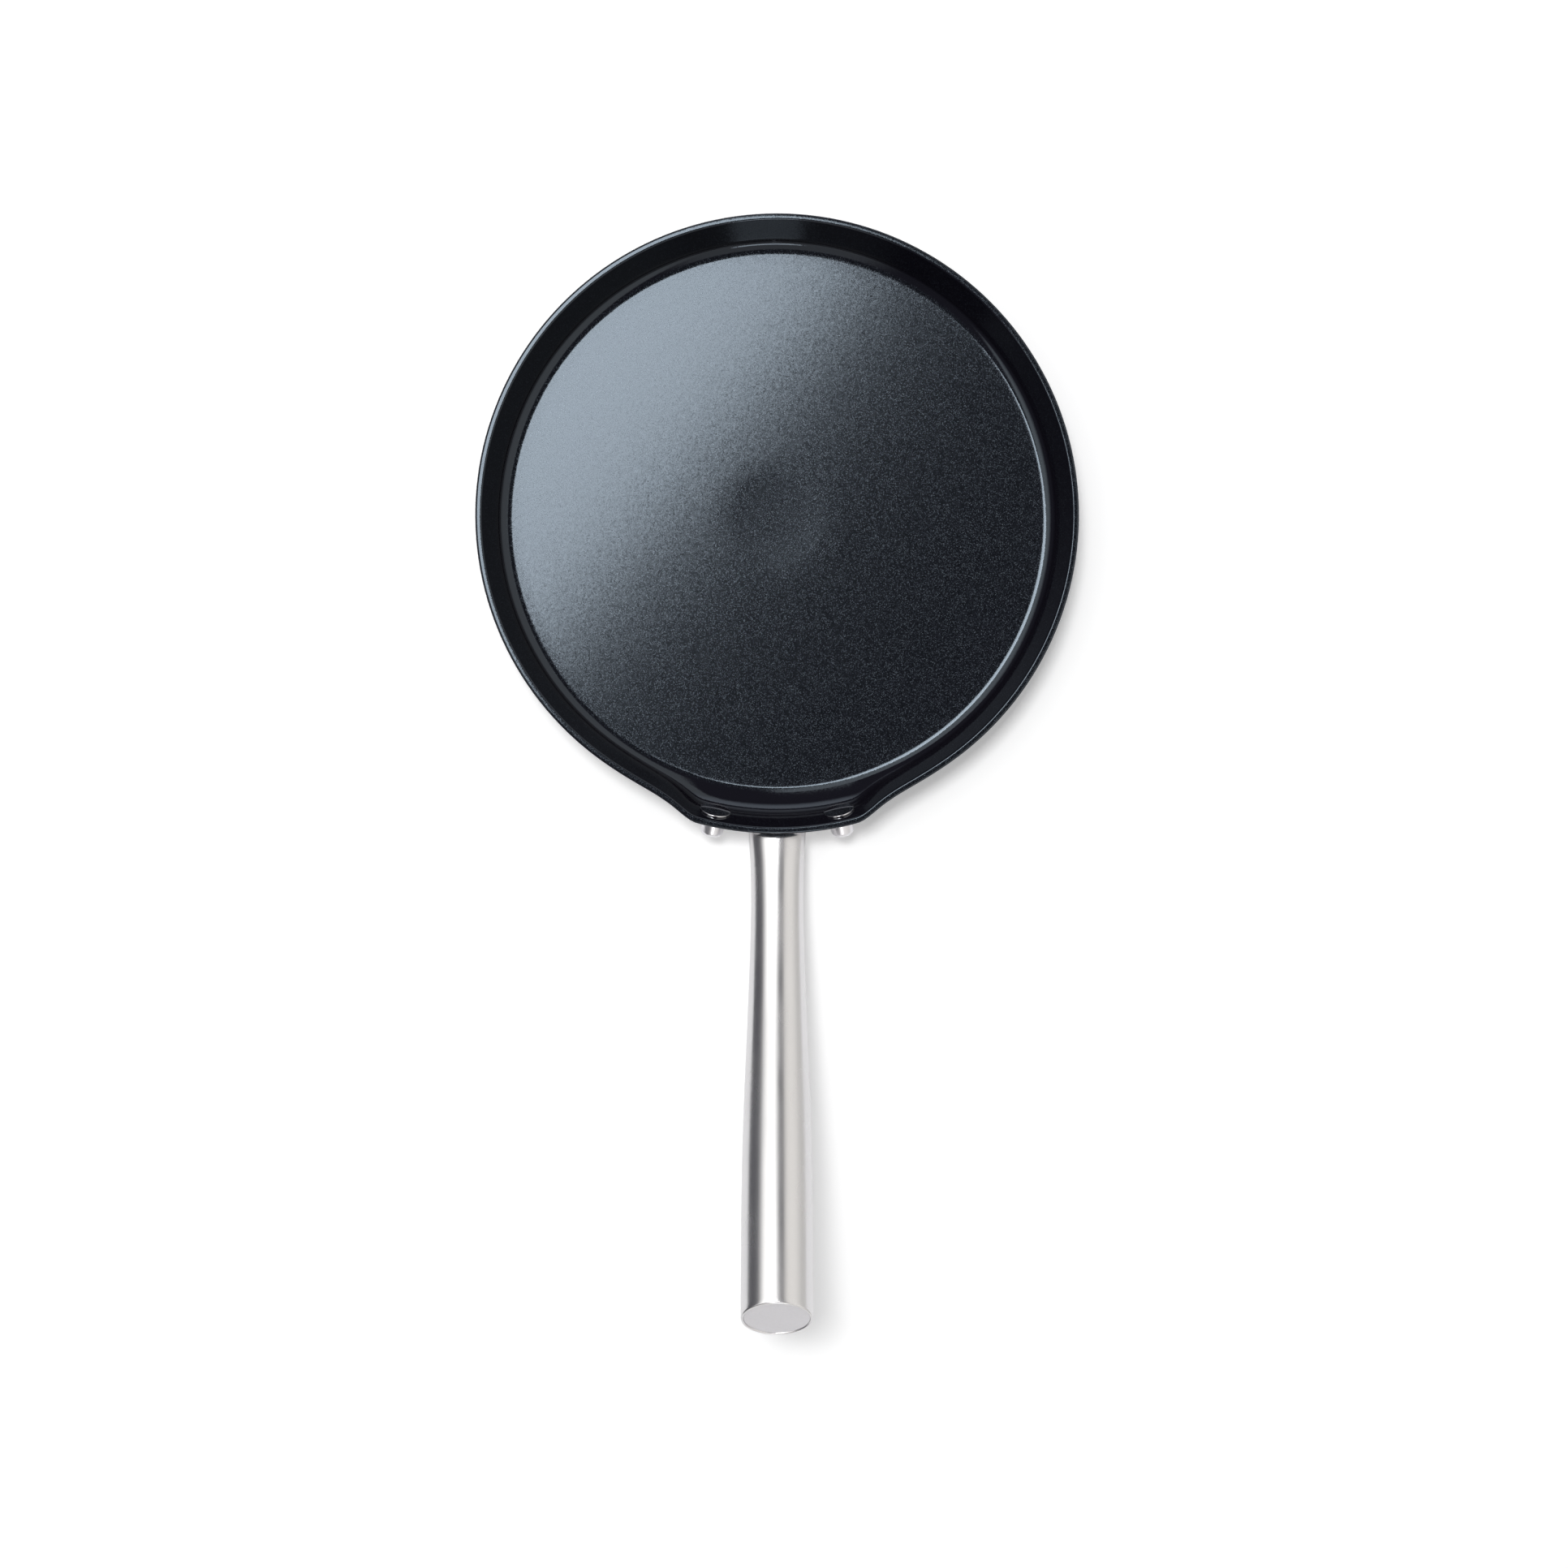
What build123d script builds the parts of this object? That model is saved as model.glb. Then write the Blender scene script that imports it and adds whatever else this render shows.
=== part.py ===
from build123d import *
import math
import os

# Crepe pan with a riveted, hollow steel handle.
# Millimetres, +Z up, origin at the centre of the resting face, handle towards -Y.

os.makedirs("parts", exist_ok=True)

# Pan body: a flat floor, a gentler slope at the foot of the wall and the wall itself
rim_radius = 140.0
pan_height = 26.0
floor_thickness = 4.0
wall_thickness = 3.5
foot_angle = 28.0
foot_run = 3.8
wall_angle = 72.0
foot_chamfer = 1.2
heel_chamfer = 3.0
rim_flat = 0.9
centre_dish_radius = 23.0
centre_dish_depth = 0.15

# Pad for the handle: the wall bulges out and leans more over a part of the circle.
# Each row is an angle in degrees from the handle and the share of the bulge there.
pad_reach = 7.65
pad_wall_angle = 67.0
pad_foot_angle = 22.0
pad_shares = (
    (0, 1.0),
    (5, 1.0),
    (10, 1.0),
    (13, 1.0),
    (15, 0.985),
    (17, 0.80),
    (19, 0.54),
    (21, 0.33),
    (24, 0.145),
    (27, 0.063),
    (30, 0.024),
    (33, 0.006),
    (36, 0.0),
)

# Steel disc pressed into the base. The aluminium fills its honeycomb of holes.
disc_margin = 29.0
disc_thickness = 0.6
disc_edge = 4.0
disc_hole_radius = 8.0
disc_hole_pitch = 26.0
disc_clearance = 0.05

# Rivets, set along the normal of the pad's wall
rivet_angle = 11.85
rivet_height = 15.8
rivet_head_radius = 7.25
rivet_head_thickness = 1.0
rivet_head_chamfer = 0.35
rivet_shank_radius = 3.0
rivet_tail_radius = 5.4
rivet_tail_height = 6.2
rivet_tail_chamfer = 2.2
rivet_hole_clearance = 0.05
rivet_seat_clearance = 0.04

# Bracket: a curved plate behind the pad, with a spigot that reaches into the tube
bracket_thickness = 2.0
bracket_above_rivet = 5.2
bracket_below_rivet = 6.0
bracket_beside_rivet = 6.2
bracket_neck_bottom = 2.0
bracket_neck_half_width = 17.0
bracket_neck_slope = 4.0
bracket_corner_round = 5.0
bracket_inner_round = 3.0
bracket_clearance = 0.06
bracket_band_angle = 20.0
spigot_length = 14.0
spigot_width = 16.0
spigot_height = 8.4
spigot_round = 2.0

# Handle tube: an oval that narrows behind the bracket and swells towards the hand.
# Each row is a share of the handle's length, of its full width and of its full height.
handle_width = 32.3
handle_height = 23.0
handle_reach = 218.0
handle_wall = 1.2
neck_height = 11.5
neck_rise = 10.0
end_height = 78.0
end_rise = 20.0
handle_oval_shares = (
    (-0.06, 0.895, 0.72),
    (0.045, 0.805, 0.70),
    (0.09, 0.768, 0.70),
    (0.16, 0.757, 0.71),
    (0.24, 0.775, 0.735),
    (0.35, 0.822, 0.79),
    (0.48, 0.89, 0.87),
    (0.60, 0.952, 0.94),
    (0.72, 0.99, 0.985),
    (0.84, 1.0, 1.0),
)

# End of the handle: a slanting cut, closed by a flat cap
end_cut_angle = 45.0
end_chamfer = 0.6
cap_thickness = 1.5
cap_depth = 0.3
cap_clearance = 0.05

# One overrun for all cuts
overrun = 10.0

# The rim is a full round, cut here into flats
rim_round = wall_thickness / 2
rivet_grip = wall_thickness + bracket_thickness + bracket_clearance


def radial_plane(angle):
    """Upright plane through the pan's axis, at an angle in degrees from the handle."""
    turn = math.radians(angle)
    return Plane(
        origin=(0, 0, 0),
        x_dir=(math.sin(turn), -math.cos(turn), 0),
        z_dir=(-math.cos(turn), -math.sin(turn), 0),
    )


def lines_meet(first, first_angle, second, second_angle):
    """Point where two sloping lines of a radial section cross."""
    first_turn = math.radians(first_angle)
    second_turn = math.radians(second_angle)
    across = second[0] - first[0]
    up = second[1] - first[1]
    spread = math.sin(second_turn - first_turn)
    run = (across * math.sin(second_turn) - up * math.cos(second_turn)) / spread
    return (first[0] + run * math.cos(first_turn), first[1] + run * math.sin(first_turn))


def along(point, angle, distance):
    """Point at a distance up a sloping line."""
    turn = math.radians(angle)
    return (point[0] + distance * math.cos(turn), point[1] + distance * math.sin(turn))


def beside(point, angle, distance):
    """Point at a distance on the outer side of a sloping line."""
    turn = math.radians(angle)
    return (point[0] + distance * math.sin(turn), point[1] - distance * math.cos(turn))


def rim_sharpness(lean):
    """How far the outer face, if it went straight up, would reach past the round rim."""
    return rim_round * (math.tan(math.radians(180 - lean) / 2) - 1)


def rim_corners(share):
    """Lean of the wall at a share of the bulge, and its faces' ends level with the rim."""
    lean = wall_angle + (pad_wall_angle - wall_angle) * share
    outer = rim_radius + pad_reach * share + rim_sharpness(lean)
    inner = outer - wall_thickness / math.sin(math.radians(lean))
    return lean, (inner, pan_height), (outer, pan_height)


# The floor ends where the plain wall and its foot come down to it
plain_lean, plain_inner, plain_outer = rim_corners(0)
foot_height = floor_thickness + foot_run * math.sin(math.radians(foot_angle))
floor_radius = (
    plain_inner[0]
    - (pan_height - foot_height) / math.tan(math.radians(plain_lean))
    - foot_run * math.cos(math.radians(foot_angle))
)
disc_radius = floor_radius - disc_margin
hub_radius = (disc_radius + floor_radius) / 2


def wall_section(angle, share, inner_radius):
    """Closed outline of floor edge, foot, wall and rim at one angle round the pan."""
    lean, rim_inner, rim_outer = rim_corners(share)
    slope = foot_angle + (pad_foot_angle - foot_angle) * share
    rim_reach = rim_radius + pad_reach * share
    rim_middle = rim_reach - rim_round
    below_corner = (rim_outer[0] - rim_reach) * math.tan(math.radians(lean))
    floor_edge = (floor_radius, floor_thickness)
    foot = lines_meet(floor_edge, slope, rim_inner, lean)
    under_foot = beside(floor_edge, slope, wall_thickness)
    heel = lines_meet(under_foot, slope, rim_outer, lean)
    base_edge = lines_meet(under_foot, slope, (0, 0), 0)
    with BuildSketch(radial_plane(angle)) as section:
        with BuildLine():
            Polyline(
                (inner_radius, floor_thickness),
                floor_edge,
                along(foot, slope, -foot_chamfer),
                along(foot, lean, foot_chamfer),
                along(rim_inner, lean, -rim_round * math.tan(math.radians(lean) / 2)),
                (rim_middle - rim_flat / 2, pan_height),
                (rim_middle + rim_flat / 2, pan_height),
                (rim_reach, pan_height - rim_round + rim_flat / 2),
                (rim_reach, pan_height - below_corner),
                along(heel, lean, heel_chamfer),
                along(heel, slope, -heel_chamfer),
                base_edge,
                (inner_radius, 0),
                close=True,
            )
        make_face()
    return section.sketch.face()


def pad_sections():
    """Sections across the whole pad, from one side to the other."""
    inner_radius = hub_radius - overrun
    right_side = [wall_section(angle, share, inner_radius) for angle, share in pad_shares]
    left_side = [wall_section(-angle, share, inner_radius) for angle, share in pad_shares[1:]]
    return left_side[::-1] + right_side


def pad_radius(height, outwards):
    """Radius of the pad's wall at a height, at a distance outwards from its outer face."""
    slope = math.radians(pad_wall_angle)
    rim_outer = rim_corners(1)[2]
    outer_face = rim_outer[0] - (pan_height - height) / math.tan(slope)
    return outer_face + outwards / math.sin(slope)


def rivet_frame(side):
    """Seat of a rivet's head on the pad: the point, and the direction out of the wall."""
    turn = math.radians(side * rivet_angle)
    slope = math.radians(pad_wall_angle)
    radius = pad_radius(rivet_height, -wall_thickness)
    seat = Vector(radius * math.sin(turn), -radius * math.cos(turn), rivet_height)
    out = Vector(
        -math.sin(slope) * math.sin(turn),
        math.sin(slope) * math.cos(turn),
        math.cos(slope),
    )
    along = Vector(math.cos(turn), math.sin(turn), 0)
    return seat, out, along


def curve_rise(half_width, radius):
    """How far a straight edge stands off the middle of a hollow curve."""
    return radius - math.sqrt(radius**2 - half_width**2)


def rivet_hole(side):
    """Plane of a rivet's hole, with its normal along the rivet."""
    seat, out, along = rivet_frame(side)
    return Plane(origin=seat, x_dir=along, z_dir=out)


# The head's two sides touch the hollow face of the pad, so its middle stands off
pad_curve = pad_radius(rivet_height, -wall_thickness) / math.sin(math.radians(pad_wall_angle))
rivet_head_lift = curve_rise(rivet_head_radius, pad_curve) + rivet_seat_clearance

# Spine of the handle, from the bracket's face to the middle of the slanting cut
neck_start = pad_radius(neck_height, bracket_clearance + bracket_thickness)
spine_reach = handle_reach / 3
neck_turn = math.radians(neck_rise)
end_turn = math.radians(end_rise)
spine_start = (0, -neck_start, neck_height)
spine_end = (0, -neck_start - handle_reach, end_height)
with BuildLine() as spine:
    Bezier(
        spine_start,
        (0, spine_start[1] - spine_reach, spine_start[2] + spine_reach * math.tan(neck_turn)),
        (0, spine_end[1] + spine_reach, spine_end[2] - spine_reach * math.tan(end_turn)),
        spine_end,
    )


def spine_plane(share):
    """Plane square to the spine. Past its ends the spine goes straight on."""
    on_spine = min(max(share, 0), 1)
    heading = spine.line % on_spine
    origin = (spine.line @ on_spine) + heading * ((share - on_spine) * handle_reach)
    return Plane(origin=origin, x_dir=(1, 0, 0), z_dir=heading)


def end_plane(depth):
    """Plane of the slanting cut, moved in by a depth along the handle."""
    slant = math.radians(end_cut_angle)
    outward = Vector(0, -math.cos(slant), math.sin(slant))
    origin = spine_plane(1 - depth / handle_reach).origin
    return Plane(origin=origin, x_dir=(1, 0, 0), z_dir=outward)


def end_oval(depth, inset):
    """Oval on the plane of the slanting cut."""
    tilt = math.radians(end_cut_angle - end_rise)
    with BuildSketch(end_plane(depth)) as oval:
        Ellipse(
            handle_width / 2 - inset,
            (handle_height / 2 - inset) / math.cos(tilt),
        )
    return oval.sketch.face()


def handle_ovals(inset):
    """Oval sections along the handle up to its end part, drawn in by an inset."""
    ovals = []
    for share, width_share, height_share in handle_oval_shares:
        with BuildSketch(spine_plane(share)) as oval:
            Ellipse(
                handle_width * width_share / 2 - inset,
                handle_height * height_share / 2 - inset,
            )
        ovals.append(oval.sketch.face())
    return ovals


def disc_holes():
    """Places of the holes in the steel disc: a honeycomb without its middle cell."""
    places = []
    ring_count = math.floor((disc_radius - disc_edge - disc_hole_radius) / disc_hole_pitch)
    rings = range(-ring_count, ring_count + 1)
    for row in rings:
        for step in rings:
            if (row, step) != (0, 0) and abs(row + step) <= ring_count:
                across = disc_hole_pitch * (step + row / 2)
                places.append((across, disc_hole_pitch * row * math.sin(math.pi / 3)))
    return places


# Stretch of the wall that bulges out into the pad, drilled for the rivets and
# trimmed to meet the hub of the floor
with BuildPart() as pad:
    loft(sections=pad_sections())
    for side in (-1, 1):
        with Locations(rivet_hole(side)):
            Cylinder(
                rivet_shank_radius + rivet_hole_clearance,
                2 * (rivet_grip + overrun),
                mode=Mode.SUBTRACT,
            )
    Cylinder(hub_radius, 2 * (floor_thickness + overrun), mode=Mode.SUBTRACT)

# Pan body
with BuildPart() as pan_body:
    pad_end = pad_shares[-1][0]
    plain_section = wall_section(pad_end, 0, hub_radius)
    revolve([plain_section], axis=Axis.Z, revolution_arc=360 - 2 * pad_end)
    # Hub of the floor, with a shallow dish in the middle of the cooking face
    with BuildSketch(Plane.XZ):
        with BuildLine():
            dish = TangentArc(
                (0, floor_thickness - centre_dish_depth),
                (centre_dish_radius, floor_thickness),
                tangent=(1, 0),
            )
            Polyline(
                dish @ 1,
                (hub_radius, floor_thickness),
                (hub_radius, 0),
                (0, 0),
                dish @ 0,
            )
        make_face()
    revolve(axis=Axis.Z)
    # Recess for the steel disc, with a post for each hole of the disc
    with BuildSketch():
        Circle(disc_radius + disc_clearance)
        with Locations(*disc_holes()):
            RegularPolygon(disc_hole_radius - disc_clearance, 6, mode=Mode.SUBTRACT)
    extrude(amount=disc_thickness, mode=Mode.SUBTRACT)
    add(pad.part)
pan_body.part.label = "pan_body"
export_step(pan_body.part, "parts/pan_body.step")

# Steel disc in the base
with BuildPart() as induction_disc:
    with BuildSketch():
        Circle(disc_radius)
        with Locations(*disc_holes()):
            RegularPolygon(disc_hole_radius, 6, mode=Mode.SUBTRACT)
    extrude(amount=disc_thickness)
induction_disc.part.label = "induction_disc"
export_step(induction_disc.part, "parts/induction_disc.step")

# Spigot of the bracket, which reaches into the start of the tube
with BuildPart() as spigot:
    with BuildSketch(spine_plane(0)):
        RectangleRounded(spigot_width, spigot_height, spigot_round)
    extrude(amount=spigot_length)
    extrude(to_extrude=spigot.faces().sort_by(Axis.Y)[-1], amount=bracket_thickness + overrun)
    with Locations((0, 0, -overrun)):
        Cone(
            pad_radius(-overrun, bracket_clearance),
            pad_radius(pan_height + overrun, bracket_clearance),
            pan_height + 2 * overrun,
            align=(Align.CENTER, Align.CENTER, Align.MIN),
            mode=Mode.SUBTRACT,
        )

# Bracket
with BuildPart() as handle_bracket:
    # Conical band that lies against the outer face of the pad
    with BuildSketch(radial_plane(-bracket_band_angle)):
        with BuildLine():
            Polyline(
                (pad_radius(0, bracket_clearance), 0),
                (pad_radius(pan_height, bracket_clearance), pan_height),
                (pad_radius(pan_height, bracket_clearance + bracket_thickness), pan_height),
                (pad_radius(0, bracket_clearance + bracket_thickness), 0),
                close=True,
            )
        make_face()
    revolve(axis=Axis.Z, revolution_arc=2 * bracket_band_angle)
    # Outline of the plate, seen along the handle. Its wings lie round the rivets.
    with BuildSketch(Plane.XZ):
        with BuildLine():
            rivet_level = rivet_height - rivet_grip * math.cos(math.radians(pad_wall_angle))
            rivet_away = pad_radius(rivet_level, bracket_clearance + bracket_thickness)
            rivet_aside = rivet_away * math.sin(math.radians(rivet_angle))
            bracket_half_width = rivet_aside + bracket_beside_rivet
            bracket_top = rivet_level + bracket_above_rivet
            bracket_wing_bottom = rivet_level - bracket_below_rivet
            wing_edge = bracket_neck_half_width + bracket_neck_slope
            FilletPolyline(
                (bracket_half_width, bracket_top),
                (-bracket_half_width, bracket_top),
                (-bracket_half_width, bracket_wing_bottom),
                (-wing_edge, bracket_wing_bottom),
                (-bracket_neck_half_width, bracket_neck_bottom),
                (bracket_neck_half_width, bracket_neck_bottom),
                (wing_edge, bracket_wing_bottom),
                (bracket_half_width, bracket_wing_bottom),
                radius=(
                    bracket_corner_round,
                    bracket_corner_round,
                    bracket_corner_round,
                    bracket_inner_round,
                    bracket_inner_round,
                    bracket_inner_round,
                    bracket_inner_round,
                    bracket_corner_round,
                ),
                close=True,
            )
        make_face()
    extrude(amount=rim_radius + pad_reach + overrun, mode=Mode.INTERSECT)
    add(spigot.part)
    for side in (-1, 1):
        with Locations(rivet_hole(side)):
            Cylinder(
                rivet_shank_radius + rivet_hole_clearance,
                2 * (rivet_grip + overrun),
                mode=Mode.SUBTRACT,
            )
handle_bracket.part.label = "handle_bracket"
export_step(handle_bracket.part, "parts/handle_bracket.step")

# Handle tube
with BuildPart() as handle_tube:
    outer_end = [end_oval(end_chamfer, 0), end_oval(0, end_chamfer)]
    loft(sections=handle_ovals(0) + outer_end, ruled=True)
    inner_end = [end_oval(0, handle_wall)]
    loft(sections=handle_ovals(handle_wall) + inner_end, ruled=True, mode=Mode.SUBTRACT)
    with Locations((0, 0, -overrun)):
        Cone(
            pad_radius(-overrun, bracket_clearance + bracket_thickness),
            pad_radius(pan_height + overrun, bracket_clearance + bracket_thickness),
            pan_height + 2 * overrun,
            align=(Align.CENTER, Align.CENTER, Align.MIN),
            mode=Mode.SUBTRACT,
        )
handle_tube.part.label = "handle_tube"
export_step(handle_tube.part, "parts/handle_tube.step")

# Cap in the end of the tube
with BuildPart() as handle_end_cap:
    cap_inset_all = handle_wall + cap_clearance
    cap_back = end_oval(cap_depth + cap_thickness, cap_inset_all)
    cap_front = end_oval(cap_depth, cap_inset_all)
    loft(sections=[cap_back, cap_front], ruled=True)
handle_end_cap.part.label = "handle_end_cap"
export_step(handle_end_cap.part, "parts/handle_end_cap.step")

# Rivets: a turned profile, whose flat head bridges the curve of the pad
for side, name in ((-1, "rivet_left"), (1, "rivet_right")):
    seat, out, along = rivet_frame(side)
    with BuildPart() as rivet:
        with BuildSketch(Plane(origin=seat, x_dir=along, z_dir=along.cross(out))):
            with BuildLine():
                head_top = rivet_head_lift + rivet_head_thickness
                tail_end = -rivet_grip - rivet_tail_height
                Polyline(
                    (0, head_top),
                    (rivet_head_radius - rivet_head_chamfer, head_top),
                    (rivet_head_radius, head_top - rivet_head_chamfer),
                    (rivet_head_radius, rivet_head_lift),
                    (rivet_shank_radius, rivet_head_lift),
                    (rivet_shank_radius, -rivet_grip),
                    (rivet_tail_radius, -rivet_grip),
                    (rivet_tail_radius, tail_end + rivet_tail_chamfer),
                    (rivet_tail_radius - rivet_tail_chamfer, tail_end),
                    (0, tail_end),
                    close=True,
                )
            make_face()
        revolve(axis=Axis(seat, out))
    rivet.part.label = name
    export_step(rivet.part, f"parts/{name}.step")
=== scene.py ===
import math

import bmesh
import bpy
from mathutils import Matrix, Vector


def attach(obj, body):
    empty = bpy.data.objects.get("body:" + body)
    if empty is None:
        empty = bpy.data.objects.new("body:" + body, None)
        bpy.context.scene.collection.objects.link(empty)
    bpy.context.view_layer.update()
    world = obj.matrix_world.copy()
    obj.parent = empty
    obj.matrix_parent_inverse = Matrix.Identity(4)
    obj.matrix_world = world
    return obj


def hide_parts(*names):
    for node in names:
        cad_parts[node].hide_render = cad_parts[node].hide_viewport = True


# Crepe pan with a riveted, hollow steel handle. The scene is in metres.
# The sizes repeat those of the CAD part, so each piece lies on its node.

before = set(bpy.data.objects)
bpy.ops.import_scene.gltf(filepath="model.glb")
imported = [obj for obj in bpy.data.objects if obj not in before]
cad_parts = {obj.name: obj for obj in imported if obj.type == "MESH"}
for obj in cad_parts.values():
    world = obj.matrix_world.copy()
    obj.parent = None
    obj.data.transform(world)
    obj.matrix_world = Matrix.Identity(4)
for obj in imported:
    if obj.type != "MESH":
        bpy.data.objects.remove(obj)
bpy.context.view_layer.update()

# Shapes are in millimetres and degrees, as in the CAD part. Looks are in metres.
MM = 0.001

# Pan body
rim_radius = 140.0
pan_height = 26.0
floor_thickness = 4.0
wall_thickness = 3.5
foot_angle = 28.0
foot_run = 3.8
wall_angle = 72.0
floor_fillet = 9.0
foot_fillet = 3.2
pad_foot_fillet = 12.8
heel_fillet = 7.0
rim_inner_round = 1.0
rim_outer_round = 1.1
rim_foot_round = 3.0
base_fillet = 2.0
dish_radius = 23.0
dish_depth = 0.15
pad_reach = 7.65
pad_wall_angle = 67.0
pad_foot_angle = 22.0

# Each row is an angle from the handle and the share of the pad's bulge there
pad_shares = (
    (0, 1.0),
    (5, 1.0),
    (10, 1.0),
    (13, 1.0),
    (15, 0.985),
    (17, 0.80),
    (19, 0.54),
    (21, 0.33),
    (24, 0.145),
    (27, 0.063),
    (30, 0.024),
    (33, 0.006),
    (36, 0.0),
)

# Steel disc in the base and the honeycomb of its holes
disc_margin = 29.0
disc_thickness = 0.6
disc_hole_radius = 8.0
disc_hole_pitch = 26.0
disc_hole_rings = 3
disc_clearance = 0.05
post_corners = 6

# How far beyond the disc, and up to what height, the pan's metal stays uncoated
bare_margin = 6.0
bare_height = 1.3

# Rivets
rivet_angle = 11.85
rivet_height = 15.8
rivet_head_radius = 7.25
rivet_head_thickness = 1.0
rivet_head_dome = 0.25
rivet_head_round = 0.4
rivet_head_lift = 0.21
rivet_shank_radius = 3.0
rivet_tail_radius = 5.4
rivet_tail_height = 6.2
rivet_tail_round = 2.4

# How far inside the bracket's outer face a rivet takes on the look of its tail
tail_overlap = 1.0

# Bracket
bracket_thickness = 2.0
bracket_clearance = 0.06

# Handle tube
handle_width = 32.3
handle_height = 23.0
handle_reach = 218.0
handle_wall = 1.2
neck_height = 11.5
neck_rise = 10.0
end_height = 78.0
end_rise = 20.0

# Each row is a share of the handle's length, of its full width and of its full height
oval_shares = (
    (-0.06, 0.895, 0.72),
    (0.045, 0.805, 0.70),
    (0.09, 0.768, 0.70),
    (0.16, 0.757, 0.71),
    (0.24, 0.775, 0.735),
    (0.35, 0.822, 0.79),
    (0.48, 0.89, 0.87),
    (0.60, 0.952, 0.94),
    (0.72, 0.99, 0.985),
    (0.84, 1.0, 1.0),
    (1.06, 1.0, 1.0),
)
end_cut_angle = 45.0
end_round = 0.55
cap_thickness = 1.5
cap_depth = 0.3
cap_round = 0.25
cap_clearance = 0.05

# Where to look for the tube's mouth and for its cut, as shares of its length
mouth_span_shares = (-0.1, 0.2)
cut_span_shares = (0.8, 1.1)
halvings = 40

# Fineness of the meshes
sharp_angle = 40.0
weld_distance = 0.001
pan_round_steps = 10
pan_fine_end = 42
pan_coarse_steps = 140
tube_turn_steps = 112
tube_length_steps = 130
tube_inner_steps = 24
lip_steps = 6
cap_round_steps = 5
rivet_turn_steps = 72
rivet_round_steps = 8
dish_step_shares = (0, 0.25, 0.5, 0.7, 0.85, 0.94, 1.0)
floor_step_shares = (0.1, 0.25, 0.4, 0.55, 0.7, 0.82, 0.92)
cap_back_shares = (0.4, 0.8, 1.0)
cap_front_shares = (0.85, 0.6, 0.3)
rivet_head_shares = (0, 0.3, 0.6, 0.85)

# Coating: each cell of its glitter draws a number, which picks a colour and a roughness.
# The colours are partly the flakes' own tone and partly painted glints: the brighter cells
# stand in for flakes that catch the light from above, so they are painted only on level faces.
# Each pair of levels is how upright a surface's normal is where the look of the steep wall
# starts to give way to the glitter and where it is gone.
flake_size = 0.00034
flake_tilt = 0.008
flake_and_glint_colours = (
    (0.0, (0.0010, 0.0010, 0.0016)),
    (0.5, (0.0045, 0.0048, 0.0075)),
    (0.8, (0.013, 0.0145, 0.020)),
    (0.94, (0.034, 0.040, 0.050)),
    (1.0, (0.075, 0.090, 0.105)),
)
flake_roughness = ((0.0, 0.085), (0.6, 0.12), (0.92, 0.155), (1.0, 0.19))
steep_colour = (0.006, 0.005, 0.0085)
steep_roughness = (0.055, 0.055, 0.055)
glint_levels = (0.93, 0.995)
roughness_levels = (0.985, 0.9995)
peel_scale = (420, 420, 420)
peel_strength = 0.25
peel_height = 0.00003
coating_specular = 0.64
coating_tint = (0.73, 0.865, 1.0, 1)

# Brushed steels: colour, roughness, closeness of the grain in each direction, and its relief
brushed_steels = {
    "satin_steel": ((0.80, 0.79, 0.80), 0.26, (2200, 30, 2200), 0.25),
    "matt_steel": ((0.77, 0.76, 0.785), 0.42, (900, 900, 900), 0.3),
    "rivet_steel": ((0.70, 0.69, 0.71), 0.08, (700, 700, 700), 0.05),
    "rivet_tail_steel": ((0.86, 0.85, 0.88), 0.34, (900, 900, 900), 0.2),
    "plate_steel": ((0.66, 0.65, 0.66), 0.3, (900, 900, 900), 0.3),
}
brushed_darkening = 0.93
brushed_roughness_spread = 0.12
brushed_height = 0.00001

# Closeness of the steel's clouds in each direction, and where the smooth ones end and the
# rough ones start
cloud_scale = (60, 25, 60)
cloud_ends = (0.3, 0.7)

# Turned metals: dark and light shade, lowest and highest roughness, and closeness of the rings
turned_metals = {
    "turned_aluminium": ((0.50, 0.50, 0.51), (0.62, 0.62, 0.63), 0.36, 0.46, 1400),
    "turned_steel": ((0.36, 0.36, 0.37), (0.47, 0.47, 0.48), 0.30, 0.40, 1700),
}
turned_relief = 0.3
turned_height = 0.00002
wide_ring_ratio = 9

# Floor
floor_half = 6.0
floor_drop = 0.0003
floor_colours = ((0.93, 0.93, 0.935), (0.95, 0.95, 0.95))
floor_cloud_scale = (3, 3, 3)
floor_roughness = 0.9
floor_glow = 0.33
floor_glossy_share = 0.5

# Room, as it shows in gloss. Each pair of numbers is a soft edge of a pale panel: the slopes
# away from straight up between which the panel appears or fades. Only the far panel's edge
# is in how far a direction points ahead, from 0 to 1. The least height keeps the slopes
# finite. The lamp direction runs to the upper left, in line with the sides of the far lamps.
least_height = 0.001
lamp_direction = (-0.767, 0.641)
room_grey = (0.09, 0.09, 0.10)
right_panel_near = (0.93, 0.91, 0.87)
right_panel_far = (0.62, 0.61, 0.59)
right_panel_edge = (0.32, 0.44)
right_panel_dimming = (0.8, 3.0)
front_panel_colour = (0.62, 0.60, 0.58)
front_panel_edge = (0.3, 0.5)
front_panel_side = (0.3, 0.6)
left_panel_colour = (1.5, 1.5, 1.46)
left_panel_edge = (0.2, 0.3)
left_panel_right_end = (-0.03, 0.03)
left_panel_left_end = (-1.2, -0.6)
left_panel_far_end = (0.85, 0.95)
far_panel_colour = (1.3, 1.3, 1.34)
far_panel_edge = (0.86, 0.97)

# Room, as it lights matt surfaces and shows to the camera. The sky is a pale patch of it.
matt_grey = (0.15, 0.15, 0.15)
sky_colour = (1.1, 1.1, 1.1)
sky_near_edge = (0.1, 0.4)
sky_far_edge = (1.0, 2.4)
sky_side = (0.7, 1.4)
camera_white = (1.0, 1.0, 1.0)

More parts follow.
